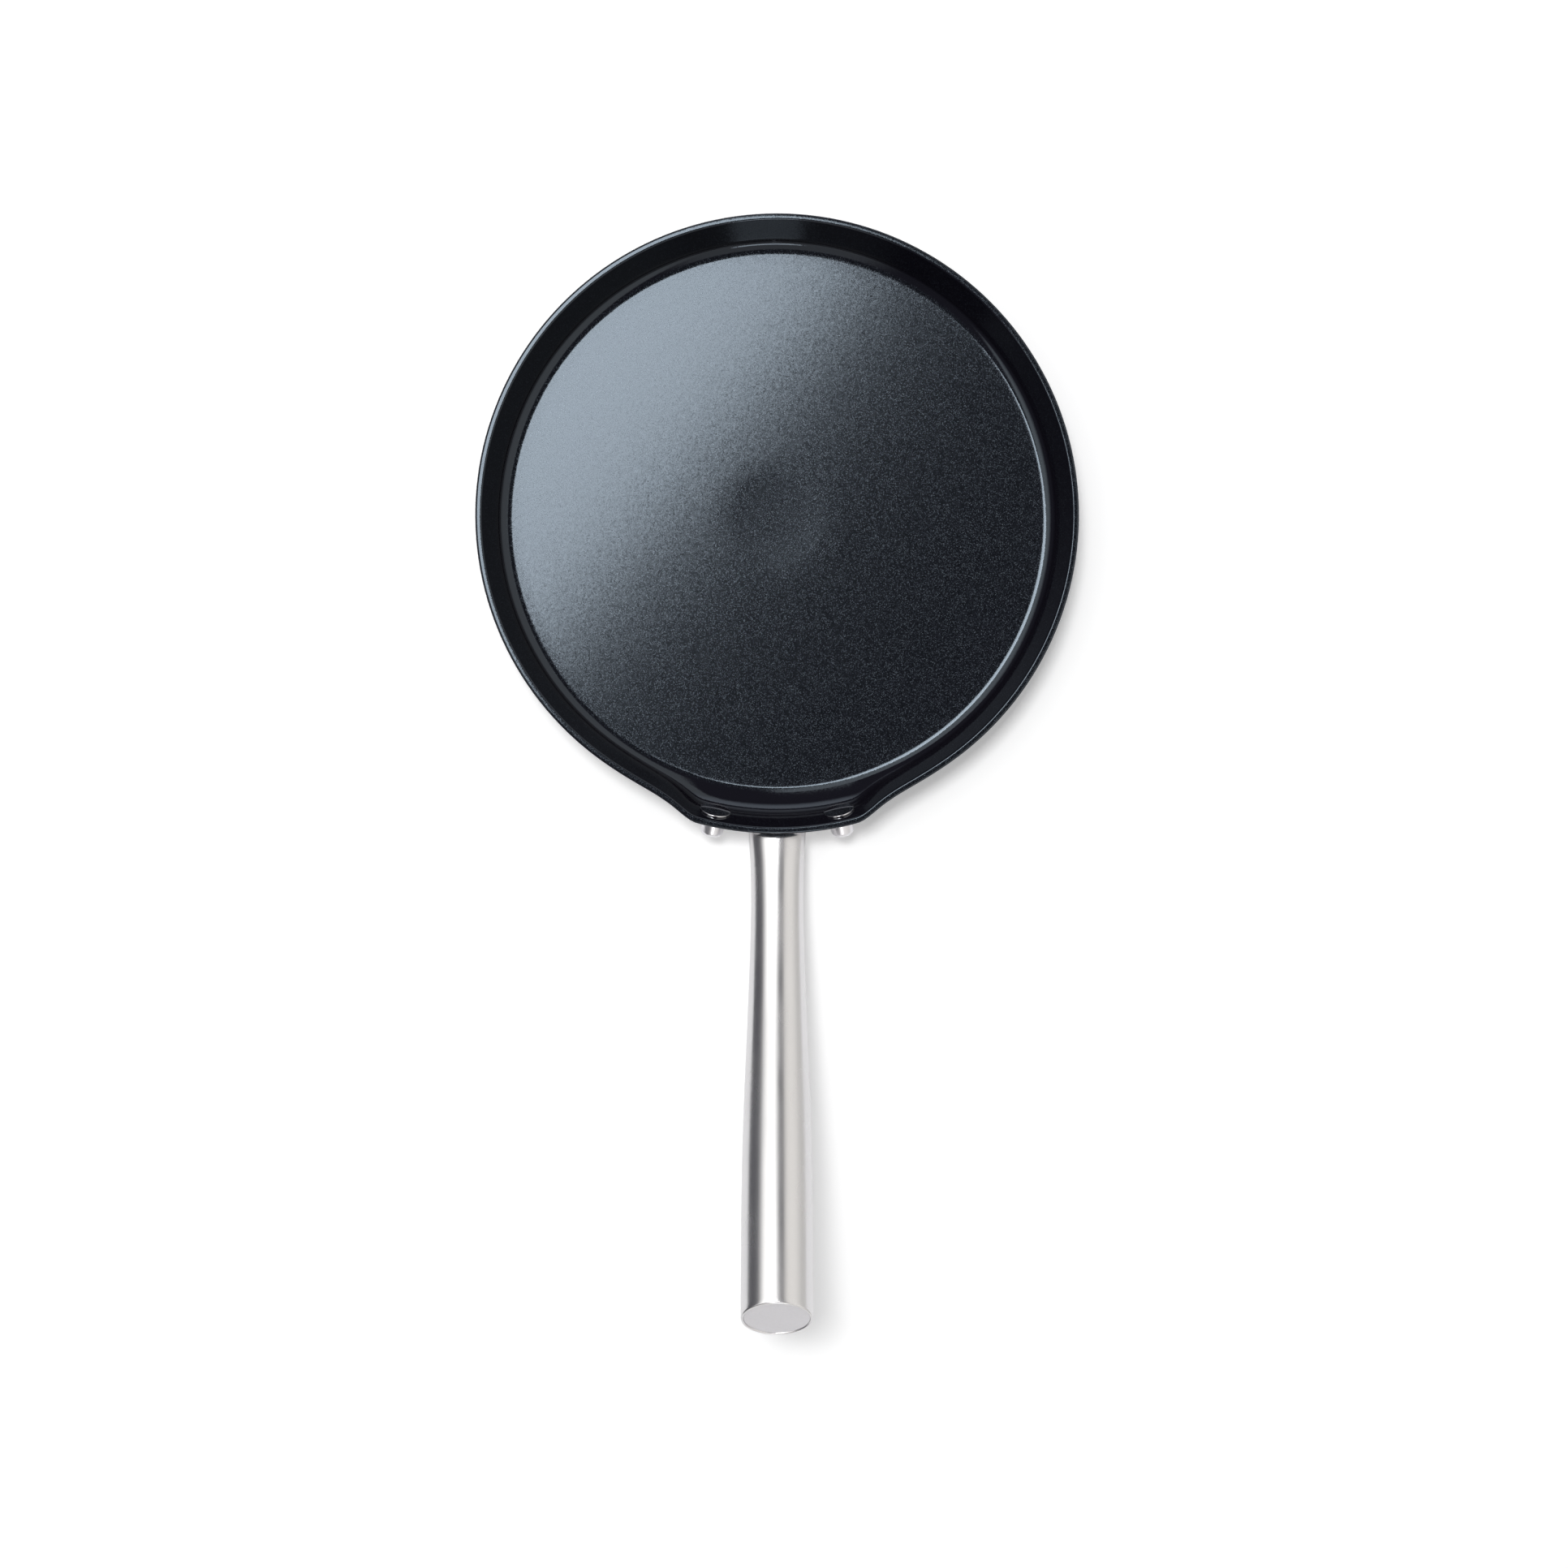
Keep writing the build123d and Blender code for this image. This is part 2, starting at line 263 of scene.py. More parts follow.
# Lamps in metres, and the turn in degrees of the two far ones about the upright. The watts
# are those of a square metre of lamp with a radiance of one.
lamp_watts = 4
lamp_turn = 50.0
shadow_lamp_place = (-1.15, 1.70, 8.0)
shadow_lamp_size = (2.0, 2.3)
shadow_lamp_radiance = 18.0
soft_lamp_place = (-1.266, 1.448, 7.7)
soft_lamp_size = (2.4, 2.2)
soft_lamp_radiance = 7.0
low_lamp_place = (0.05, -1.35, 1.0)
low_lamp_aim = (0.0, 0.1, 0.0)
low_lamp_size = (0.34, 0.5)
low_lamp_radiance = 3.0

# Camera: its place in metres, straight above, and its lens and sensor in millimetres
camera_place = (0.0032, -0.1246, 1.328)
camera_lens = 64.53
camera_sensor = 36.0


def blended(table, place, column=1):
    """Value of a table's column at a place, on a smooth curve without overshoot."""
    if place <= table[0][0]:
        return table[0][column]
    if place >= table[-1][0]:
        return table[-1][column]
    slopes = []
    for before, after in zip(table, table[1:]):
        slopes.append((after[column] - before[column]) / (after[0] - before[0]))
    tangents = [slopes[0]]
    for before, after in zip(slopes, slopes[1:]):
        if before * after <= 0:
            tangents.append(0.0)
        else:
            tangents.append(2 * before * after / (before + after))
    tangents.append(slopes[-1])
    for index, (before, after) in enumerate(zip(table, table[1:])):
        if place <= after[0]:
            width = after[0] - before[0]
            at = (place - before[0]) / width
            start = (1 + 2 * at) * (1 - at) ** 2 * before[column]
            end = at**2 * (3 - 2 * at) * after[column]
            start_pull = at * (1 - at) ** 2 * width * tangents[index]
            end_pull = at**2 * (at - 1) * width * tangents[index + 1]
            return start + end + start_pull + end_pull
    return table[-1][column]


def lines_meet(first, first_angle, second, second_angle):
    """Point where two sloping lines of a radial section cross."""
    first_turn = math.radians(first_angle)
    second_turn = math.radians(second_angle)
    across = second[0] - first[0]
    up = second[1] - first[1]
    spread = math.sin(second_turn - first_turn)
    run = (across * math.sin(second_turn) - up * math.cos(second_turn)) / spread
    return (first[0] + run * math.cos(first_turn), first[1] + run * math.sin(first_turn))


def beside(point, angle, distance):
    """Point at a distance on the outer side of a sloping line."""
    turn = math.radians(angle)
    return (point[0] + distance * math.sin(turn), point[1] - distance * math.cos(turn))


def rounded(corners, steps):
    """Outline through corners given as a point and a radius. A radius of zero keeps the corner."""
    outline = []
    for index, (corner, radius) in enumerate(corners):
        here = Vector(corner)
        if not radius:
            outline.append(here)
            continue
        before = (Vector(corners[index - 1][0]) - here).normalized()
        after = (Vector(corners[index + 1][0]) - here).normalized()
        opening = before.angle(after)
        middle = here + (before + after).normalized() * (radius / math.sin(opening / 2))
        start = here + before * (radius / math.tan(opening / 2)) - middle
        turn = start.angle_signed(here + after * (radius / math.tan(opening / 2)) - middle)
        for step in range(steps + 1):
            angle = -turn * step / steps
            across = start[0] * math.cos(angle) - start[1] * math.sin(angle)
            up = start[0] * math.sin(angle) + start[1] * math.cos(angle)
            outline.append(middle + Vector((across, up)))
    return outline


def rim_corner(share):
    """Lean of the wall, and the outer corner that its full round rim would have."""
    lean = wall_angle + (pad_wall_angle - wall_angle) * share
    rounding = wall_thickness / 2
    reach = rounding * math.tan(math.radians(180 - lean) / 2) - rounding
    return lean, (rim_radius + pad_reach * share + reach, pan_height)


def floor_edge():
    """Where the flat floor ends, worked down the plain wall from its rim."""
    lean, rim_outer = rim_corner(0)
    slope = math.radians(lean)
    foot_turn = math.radians(foot_angle)
    foot_height = floor_thickness + foot_run * math.sin(foot_turn)
    foot = rim_outer[0] - wall_thickness / math.sin(slope)
    foot -= (pan_height - foot_height) / math.tan(slope)
    return (foot - foot_run * math.cos(foot_turn), floor_thickness)


def pad_radius(height, outwards):
    """Radius of the pad's wall at a height, at a distance outwards from its outer face."""
    lean, rim_outer = rim_corner(1)
    slope = math.radians(lean)
    return rim_outer[0] - (pan_height - height) / math.tan(slope) + outwards / math.sin(slope)


def pan_outline(share):
    """Section of the pan from the middle of the floor, over the rim, to the disc's recess."""
    lean, rim_outer = rim_corner(share)
    rim_inner = (rim_outer[0] - wall_thickness / math.sin(math.radians(lean)), pan_height)
    brim = rim_radius + pad_reach * share
    brim_foot = pan_height - (rim_outer[0] - brim) * math.tan(math.radians(lean))
    slope = foot_angle + (pad_foot_angle - foot_angle) * share
    edge = floor_edge()
    foot = lines_meet(edge, slope, rim_inner, lean)
    under_foot = beside(edge, slope, wall_thickness)
    heel = lines_meet(under_foot, slope, rim_outer, lean)
    base_edge = lines_meet(under_foot, slope, (0, 0), 0)
    recess = edge[0] - disc_margin + disc_clearance
    middle = []
    for portion in dish_step_shares:
        depth = dish_depth * (1 - portion**2)
        middle.append(((dish_radius * portion, floor_thickness - depth), 0))
    for portion in floor_step_shares:
        radius = dish_radius + (edge[0] - dish_radius) * portion
        middle.append(((radius, floor_thickness), 0))
    corners = middle + [
        (edge, floor_fillet),
        (foot, foot_fillet + (pad_foot_fillet - foot_fillet) * share),
        (rim_inner, rim_inner_round),
        ((brim, pan_height), rim_outer_round),
        ((brim, brim_foot), rim_foot_round),
        (heel, heel_fillet),
        (base_edge, base_fillet),
        ((recess + (base_edge[0] - recess) / 2, 0), 0),
        ((recess, 0), 0),
        ((recess, disc_thickness), 0),
        ((recess / 2, disc_thickness), 0),
        ((0, disc_thickness), 0),
    ]
    return rounded(corners, pan_round_steps)


def grid_piece(name, rows):
    """Closed skin through rows of points. A row of one point closes an end."""
    points = []
    starts = []
    for row in rows:
        starts.append(len(points))
        points.extend(row)
    faces = []
    for index, (row, following) in enumerate(zip(rows, rows[1:])):
        count = max(len(row), len(following))
        for step in range(count):
            onward = (step + 1) % count
            ring = [starts[index] + step % len(row), starts[index] + onward % len(row)]
            ring.append(starts[index + 1] + onward % len(following))
            ring.append(starts[index + 1] + step % len(following))
            faces.append(list(dict.fromkeys(ring)))
    return mesh_piece(name, points, faces)


def mesh_piece(name, points, faces):
    """Object from points in millimetres and faces, riding on the only body."""
    mesh = bpy.data.meshes.new(name)
    mesh.from_pydata([Vector(point) * MM for point in points], [], faces)
    mesh.validate()
    mesh.shade_smooth()
    mesh.set_sharp_from_angle(angle=math.radians(sharp_angle))
    piece = bpy.data.objects.new(name, mesh)
    bpy.context.scene.collection.objects.link(piece)
    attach(piece, "root")
    return piece


def fused(name, first, second):
    """One closed piece made of two that cross. Both of them are removed."""
    union = first.modifiers.new("union", "BOOLEAN")
    union.operation = "UNION"
    union.solver = "EXACT"
    union.object = second
    bpy.context.view_layer.update()
    shape = first.evaluated_get(bpy.context.evaluated_depsgraph_get()).to_mesh()
    points = [tuple(vertex.co / MM) for vertex in shape.vertices]
    faces = [list(face.vertices) for face in shape.polygons]
    bpy.data.objects.remove(first)
    bpy.data.objects.remove(second)
    return mesh_piece(name, points, faces)


def honeycomb_places():
    """Places of the disc's holes: a honeycomb without its middle cell."""
    places = []
    rings = range(-disc_hole_rings, disc_hole_rings + 1)
    for row in rings:
        for step in rings:
            if (row, step) != (0, 0) and abs(row + step) <= disc_hole_rings:
                across = disc_hole_pitch * (step + row / 2)
                places.append((across, disc_hole_pitch * row * math.sin(math.pi / 3)))
    return places


def make_posts():
    """Posts of the pan's metal in the disc's holes, which reach a little way into the base."""
    points = []
    faces = []
    post_radius = disc_hole_radius - disc_clearance
    post_top = 2 * disc_thickness
    for across, up in honeycomb_places():
        start = len(points)
        for height in (0, post_top):
            for corner in range(post_corners):
                turn = math.radians(360 / post_corners * corner)
                x = across + post_radius * math.cos(turn)
                y = up + post_radius * math.sin(turn)
                points.append((x, y, height))
        bottom = [start + corner for corner in range(post_corners)]
        top = [start + post_corners + corner for corner in range(post_corners)]
        faces.append(bottom[::-1])
        faces.append(top)
        for corner in range(post_corners):
            onward = (corner + 1) % post_corners
            faces.append([bottom[corner], bottom[onward], top[onward], top[corner]])
    return mesh_piece("posts", points, faces)


def make_pan():
    """Pan body: its section swept round, with the pad's bulge, and the posts fused to it."""
    angles = [float(angle) for angle in range(-pan_fine_end, pan_fine_end + 1)]
    for step in range(1, pan_coarse_steps):
        angles.append(pan_fine_end + (360 - 2 * pan_fine_end) * step / pan_coarse_steps)
    outlines = []
    for angle in angles:
        share = blended(pad_shares, abs(angle)) if abs(angle) < pan_fine_end else 0.0
        turn = math.radians(angle)
        line = []
        for radius, height in pan_outline(share):
            line.append((radius * math.sin(turn), -radius * math.cos(turn), height))
        outlines.append(line)
    rows = [list(ring) for ring in zip(*outlines)]
    rows[0] = [rows[0][0]]
    rows[-1] = [rows[-1][0]]
    pan = fused("pan_shell", grid_piece("pan_skin", rows), make_posts())
    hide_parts("pan_body")
    return pan


def spine_frame(share):
    """Point on the handle's spine, its heading and its upward direction."""
    reach = handle_reach / 3
    start_y = -pad_radius(neck_height, bracket_clearance + bracket_thickness)
    start = Vector((0, start_y, neck_height))
    end = Vector((0, start_y - handle_reach, end_height))
    first = start + Vector((0, -reach, reach * math.tan(math.radians(neck_rise))))
    second = end + Vector((0, reach, -reach * math.tan(math.radians(end_rise))))
    at = min(max(share, 0), 1)
    back = 1 - at
    point = start * back**3 + first * 3 * back**2 * at + second * 3 * back * at**2 + end * at**3
    pull = (first - start) * back**2 + (second - first) * 2 * back * at + (end - second) * at**2
    heading = pull.normalized()
    point = point + heading * ((share - at) * handle_reach)
    return point, heading, Vector((0, heading.z, -heading.y))


def tube_point(share, angle, inset):
    """Point of the tube's skin at a share of its length and an angle round it."""
    point, heading, upward = spine_frame(share)
    half_width = handle_width * blended(oval_shares, share, 1) / 2 - inset
    half_height = handle_height * blended(oval_shares, share, 2) / 2 - inset
    sideways = Vector((1, 0, 0)) * half_width * math.cos(angle)
    return point + sideways + upward * half_height * math.sin(angle)


def crossing(low, high, test):
    """Place between two others where a rising test passes zero."""
    for _ in range(halvings):
        middle = (low + high) / 2
        if test(middle) < 0:
            low = middle
        else:
            high = middle
    return (low + high) / 2


def mouth_share(angle, inset):
    """Share of the length where the tube's skin meets the outer face of the bracket."""
    clear = bracket_clearance + bracket_thickness

    def past(share):
        point = tube_point(share, angle, inset)
        return math.hypot(point.x, point.y) - pad_radius(point.z, clear)

    return crossing(*mouth_span_shares, past)


def cut_outward():
    """Outward normal of the slanting cut."""
    slant = math.radians(end_cut_angle)
    return Vector((0, -math.cos(slant), math.sin(slant)))


def cut_share(angle, inset, depth):
    """Share of the length where the tube's skin passes the slanting cut, moved in by a depth."""
    origin = spine_frame(1 - depth / handle_reach)[0]
    outward = cut_outward()

    def past(share):
        return (tube_point(share, angle, inset) - origin).dot(outward)

    return crossing(*cut_span_shares, past)


def cut_oval(depth, inset, angle, scale=1.0):
    """Point of an oval on the slanting cut, moved in by a depth."""
    origin = spine_frame(1 - depth / handle_reach)[0]
    outward = cut_outward()
    tilt = math.radians(end_cut_angle - end_rise)
    sideways = Vector((1, 0, 0)) * (handle_width / 2 - inset) * math.cos(angle)
    upward = Vector((0, outward.z, -outward.y)) * (handle_height / 2 - inset) / math.cos(tilt)
    return origin + (sideways + upward * math.sin(angle)) * scale


def round_about(count):
    """Angles of a full turn."""
    return [2 * math.pi * step / count for step in range(count)]


def tube_rows(angles, inset, end_depth, steps):
    """Rows of the tube's skin from its mouth to the slanting cut, moved in by a depth."""
    starts = [mouth_share(angle, inset) for angle in angles]
    ends = [cut_share(angle, inset, end_depth) for angle in angles]
    rows = []
    for step in range(steps + 1):
        part = step / steps
        row = []
        for angle, start, end in zip(angles, starts, ends):
            row.append(tube_point(start + (end - start) * part, angle, inset))
        rows.append(row)
    return rows


def make_tube():
    """Handle tube: outer skin, rounded edge of the slanting cut, and inner skin."""
    angles = round_about(tube_turn_steps)
    rows = tube_rows(angles, 0, end_round, tube_length_steps)
    for step in range(1, lip_steps + 1):
        turn = math.pi / 2 * step / lip_steps
        depth = end_round * (1 - math.sin(turn))
        inset = end_round * (1 - math.cos(turn))
        rows.append([cut_oval(depth, inset, angle) for angle in angles])
    inner_round = (handle_wall - end_round) / 2
    for step in range(lip_steps + 1):
        turn = math.pi / 2 * step / lip_steps
        depth = inner_round * (1 - math.cos(turn))
        inset = handle_wall - inner_round * (1 - math.sin(turn))
        rows.append([cut_oval(depth, inset, angle) for angle in angles])
    behind_cap = 2 * (cap_depth + cap_thickness)
    rows += tube_rows(angles, handle_wall, behind_cap, tube_inner_steps)[::-1]
    rows.append(rows[0])
    tube = grid_piece("tube_shell", rows)
    weld_seam(tube)
    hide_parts("handle_tube")
    return tube


def weld_seam(piece):
    """Joins points that lie on each other."""
    shape = bmesh.new()
    shape.from_mesh(piece.data)
    bmesh.ops.remove_doubles(shape, verts=shape.verts, dist=weld_distance * MM)
    bmesh.ops.recalc_face_normals(shape, faces=shape.faces)
    shape.to_mesh(piece.data)
    shape.free()


def make_cap():
    """Cap in the end of the tube, with a softly rounded edge."""
    angles = round_about(tube_turn_steps)
    inset = handle_wall + cap_clearance
    back = cap_depth + cap_thickness
    rows = [[cut_oval(back, inset, 0, 0)]]
    for scale in cap_back_shares:
        rows.append([cut_oval(back, inset, angle, scale) for angle in angles])
    for step in range(cap_round_steps + 1):
        turn = math.pi / 2 * step / cap_round_steps
        depth = cap_depth + cap_round * (1 - math.sin(turn))
        drawn = inset + cap_round * (1 - math.cos(turn))
        rows.append([cut_oval(depth, drawn, angle) for angle in angles])
    for scale in cap_front_shares:
        rows.append([cut_oval(cap_depth, inset + cap_round, angle, scale) for angle in angles])
    rows.append([cut_oval(cap_depth, inset, 0, 0)])
    cap = grid_piece("end_cap", rows)
    weld_seam(cap)
    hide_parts("handle_end_cap")
    return cap


def make_rivet(name, node, side):
    """Rivet turned about its axis: a low domed head, its shank and a round tail."""
    turn = math.radians(side * rivet_angle)
    slope = math.radians(pad_wall_angle)
    radius = pad_radius(rivet_height, -wall_thickness)
    seat = Vector((radius * math.sin(turn), -radius * math.cos(turn), rivet_height))
    out = Vector(
        (-math.sin(slope) * math.sin(turn), math.sin(slope) * math.cos(turn), math.cos(slope))
    )
    sideways = Vector((math.cos(turn), math.sin(turn), 0))
    upward = out.cross(sideways)
    grip = wall_thickness + bracket_clearance + bracket_thickness
    top = rivet_head_lift + rivet_head_thickness
    shoulder = top - rivet_head_dome
    tail_end = -grip - rivet_tail_height
    corners = []
    for portion in rivet_head_shares:
        corners.append(((rivet_head_radius * portion, top - rivet_head_dome * portion**2), 0))
    corners += [
        ((rivet_head_radius, shoulder), rivet_head_round),
        ((rivet_head_radius, rivet_head_lift), 0),
        ((rivet_shank_radius, rivet_head_lift), 0),
        ((rivet_shank_radius, -grip), 0),
        ((rivet_tail_radius, -grip), 0),
        ((rivet_tail_radius, tail_end), rivet_tail_round),
        ((0, tail_end), 0),
    ]
    rows = []
    for distance, height in rounded(corners, rivet_round_steps):
        ring = []
        for angle in round_about(rivet_turn_steps):
            offset = sideways * math.cos(angle) + upward * math.sin(angle)
            ring.append(seat + out * height + offset * distance)
        rows.append(ring)
    rows[0] = [rows[0][0]]
    rows[-1] = [rows[-1][0]]
    rivet = grid_piece(name, rows)
    weld_seam(rivet)
    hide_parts(node)
    return rivet


def new_material(name):
    """Node material with its main shader."""
    material = bpy.data.materials.new(name)
    material.use_nodes = True
    return material, material.node_tree.nodes["Principled BSDF"]


def add_node(owner, kind, **values):
    """Node of a material or the world, with its settings and its inputs by name."""
    node = owner.node_tree.nodes.new(kind)
    for key, value in values.items():
        if hasattr(node, key):
            setattr(node, key, value)
        else:
            node.inputs[key.replace("_", " ")].default_value = value
    return node


def join(owner, source, target):
    """Links an output to an input."""
    owner.node_tree.links.new(source, target)


def feed(owner, value, socket):
    """Gives an input its value: a link, a colour or a number."""
    if isinstance(value, bpy.types.NodeSocket):
        join(owner, value, socket)
    elif isinstance(value, tuple):
        socket.default_value = (*value, 1)
    else:
        socket.default_value = value


def mixed(owner, factor, first, second):
    """Mix of two colours, each a socket or a colour."""
    node = add_node(owner, "ShaderNodeMix", data_type="RGBA")
    feed(owner, factor, node.inputs[0])
    feed(owner, first, node.inputs[6])
    feed(owner, second, node.inputs[7])
    return node.outputs[2]


def worked(owner, operation, first, second=0.0, third=0.0):
    """Result of a sum with sockets or numbers."""
    node = add_node(owner, "ShaderNodeMath", operation=operation)
    feed(owner, first, node.inputs[0])
    feed(owner, second, node.inputs[1])
    feed(owner, third, node.inputs[2])
    return node.outputs["Value"]


def rising(owner, value, low, high):
    """Zero up to a low value, one from a high one, and smooth between them."""
    node = add_node(owner, "ShaderNodeMapRange", interpolation_type="SMOOTHSTEP")
    feed(owner, low, node.inputs["From Min"])
    feed(owner, high, node.inputs["From Max"])
    join(owner, value, node.inputs["Value"])
    return node.outputs["Result"]


def ramp(material, source, stops):
    """Colour ramp over a value. Each stop is a place and a colour or a grey."""
    node = add_node(material, "ShaderNodeValToRGB")
    elements = node.color_ramp.elements
    while len(elements) < len(stops):
        elements.new(0.5)
    for element, (place, colour) in zip(elements, stops):
        element.position = place
        element.color = (*colour, 1) if isinstance(colour, tuple) else (colour, colour, colour, 1)
    join(material, source, node.inputs["Fac"])
    return node.outputs["Color"]


def stretched_noise(material, scale, detail=2.0):
    """Noise in the object's own coordinates, with a scale in each direction."""
    place = add_node(material, "ShaderNodeTexCoord")
    mapping = add_node(material, "ShaderNodeMapping", Scale=scale)
    join(material, place.outputs["Object"], mapping.inputs["Vector"])
    noise = add_node(material, "ShaderNodeTexNoise", Scale=1.0, Detail=detail)
    join(material, mapping.outputs["Vector"], noise.inputs["Vector"])
    return noise.outputs["Fac"]


def bump(material, height, strength, distance, before=None):
    """Bump from a height, on top of an earlier one if given."""
    node = add_node(material, "ShaderNodeBump", Strength=strength, Distance=distance)
    join(material, height, node.inputs["Height"])
    if before:
        join(material, before, node.inputs["Normal"])
    return node.outputs["Normal"]


def cells(material, size):
    """Random colour for each small cell of the object's space."""
    place = add_node(material, "ShaderNodeTexCoord")
    voronoi = add_node(material, "ShaderNodeTexVoronoi", Scale=1 / size)
    join(material, place.outputs["Object"], voronoi.inputs["Vector"])
    return voronoi.outputs["Color"]


def tilted(material, random, tilt):
    """The surface's normal, tilted at random in each cell, like flakes in a lacquer."""
    surface = add_node(material, "ShaderNodeNewGeometry")
    middle = add_node(material, "ShaderNodeVectorMath", operation="SUBTRACT")
    join(material, random, middle.inputs[0])
    middle.inputs[1].default_value = (0.5, 0.5, 0.5)
    lean = add_node(material, "ShaderNodeVectorMath", operation="SCALE", Scale=2 * tilt)
    join(material, middle.outputs["Vector"], lean.inputs[0])
    added = add_node(material, "ShaderNodeVectorMath", operation="ADD")
    join(material, surface.outputs["Normal"], added.inputs[0])
    join(material, lean.outputs["Vector"], added.inputs[1])
    unit = add_node(material, "ShaderNodeVectorMath", operation="NORMALIZE")
    join(material, added.outputs["Vector"], unit.inputs[0])
    return unit.outputs["Vector"]


def facing_up(material, low, high):
    """How level the surface is: one where it lies flat, and none where it is steeper."""
    surface = add_node(material, "ShaderNodeNewGeometry")
    split = add_node(material, "ShaderNodeSeparateXYZ")
    join(material, surface.outputs["Normal"], split.inputs["Vector"])
    return rising(material, split.outputs["Z"], low, high)


def coating_material():
    """Glossy blue-black coating with a fine glitter, whose colours hold painted glints on level
    faces, and a faint orange peel.
    """
    material, shader = new_material("coating")
    random = cells(material, flake_size)
    split = add_node(material, "ShaderNodeSeparateColor")
    join(material, random, split.inputs["Color"])
    # Base colour: the glitter's colours, partly the flakes' own tone and partly painted glints,
    # painted only where the surface lies level; steep faces keep the plain dark coating.
    flakes = ramp(material, split.outputs["Blue"], flake_and_glint_colours)
    level = facing_up(material, *glint_levels)
    join(material, mixed(material, level, steep_colour, flakes), shader.inputs["Base Color"])
    rough = ramp(material, split.outputs["Blue"], flake_roughness)
    level = facing_up(material, *roughness_levels)
    join(material, mixed(material, level, steep_roughness, rough), shader.inputs["Roughness"])
    peel = stretched_noise(material, peel_scale, 1.0)
    normal = tilted(material, random, flake_tilt)
    normal = bump(material, peel, peel_strength, peel_height, normal)
    join(material, normal, shader.inputs["Normal"])
    shader.inputs["Specular IOR Level"].default_value = coating_specular
    shader.inputs["Specular Tint"].default_value = coating_tint
    return material


def ring_marks(material, scale):
    """Height and shade of fine turning marks by the distance from the pan's axis."""
    place = add_node(material, "ShaderNodeTexCoord")
    split = add_node(material, "ShaderNodeSeparateXYZ")
    join(material, place.outputs["Object"], split.inputs["Vector"])
    flat = add_node(material, "ShaderNodeCombineXYZ")
    join(material, split.outputs["X"], flat.inputs["X"])
    join(material, split.outputs["Y"], flat.inputs["Y"])
    length = add_node(material, "ShaderNodeVectorMath", operation="LENGTH")
    join(material, flat.outputs["Vector"], length.inputs[0])
    away = add_node(material, "ShaderNodeCombineXYZ")
    join(material, length.outputs["Value"], away.inputs["X"])
    noise = add_node(material, "ShaderNodeTexNoise", Scale=scale, Detail=3.0)
    join(material, away.outputs["Vector"], noise.inputs["Vector"])
    wide = add_node(material, "ShaderNodeTexNoise", Scale=scale / wide_ring_ratio, Detail=2.0)
    join(material, away.outputs["Vector"], wide.inputs["Vector"])
    return noise.outputs["Fac"], wide.outputs["Fac"]


def turned_material(name):
    """Turned metal of the base, with fine rings about the pan's axis."""
    dark, light, smooth, rough, scale = turned_metals[name]
    material, shader = new_material(name)
    height, shade = ring_marks(material, scale)
    join(material, mixed(material, shade, dark, light), shader.inputs["Base Color"])
    shader.inputs["Metallic"].default_value = 1.0
    roughness = ramp(material, shade, [(0.0, smooth), (1.0, rough)])
    join(material, roughness, shader.inputs["Roughness"])
    join(material, bump(material, height, turned_relief, turned_height), shader.inputs["Normal"])
    return material


def brushed_material(name):
    """Steel with a fine grain, which its closeness in each direction can draw out into lines."""
    colour, roughness, lines, relief = brushed_steels[name]
    material, shader = new_material(name)
    fine = stretched_noise(material, lines, 3.0)
    cloudy = stretched_noise(material, cloud_scale, 2.0)
    darker = tuple(part * brushed_darkening for part in colour)
    join(material, mixed(material, fine, darker, colour), shader.inputs["Base Color"])
    shader.inputs["Metallic"].default_value = 1.0
    smooth = roughness * (1 - brushed_roughness_spread)
    rough = roughness * (1 + brushed_roughness_spread)
    clouds = ramp(material, cloudy, tuple(zip(cloud_ends, (smooth, rough))))
    join(material, clouds, shader.inputs["Roughness"])
    join(material, bump(material, fine, relief, brushed_height), shader.inputs["Normal"])
    return material


def use_materials(piece, material, second=None, chosen=None):
    """Gives a piece one material all over, or a second one on the faces that are chosen."""
    piece.data.materials.clear()
    piece.data.materials.append(material)
    if second:
        piece.data.materials.append(second)
    for face in piece.data.polygons:
        face.material_index = 1 if second and chosen(face.center) else 0


def dress(pan, tube, cap, rivets):
    """Materials of the pieces and of the CAD nodes that still show."""
    bare_radius = (floor_edge()[0] - disc_margin + bare_margin) * MM
    behind = (pad_radius(rivet_height, bracket_clearance + bracket_thickness) - tail_overlap) * MM

    def bare(place):
        return place.z < bare_height * MM and math.hypot(place.x, place.y) < bare_radius

    def outside(place):
        return math.hypot(place.x, place.y) > behind

    use_materials(pan, coating_material(), turned_material("turned_aluminium"), bare)
    use_materials(tube, brushed_material("satin_steel"))
    use_materials(cap, brushed_material("matt_steel"))
    head = brushed_material("rivet_steel")
    tail = brushed_material("rivet_tail_steel")
    for rivet in rivets:
        use_materials(rivet, head, tail, outside)
    use_materials(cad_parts["handle_bracket"], brushed_material("plate_steel"))
    use_materials(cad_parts["induction_disc"], turned_material("turned_steel"))


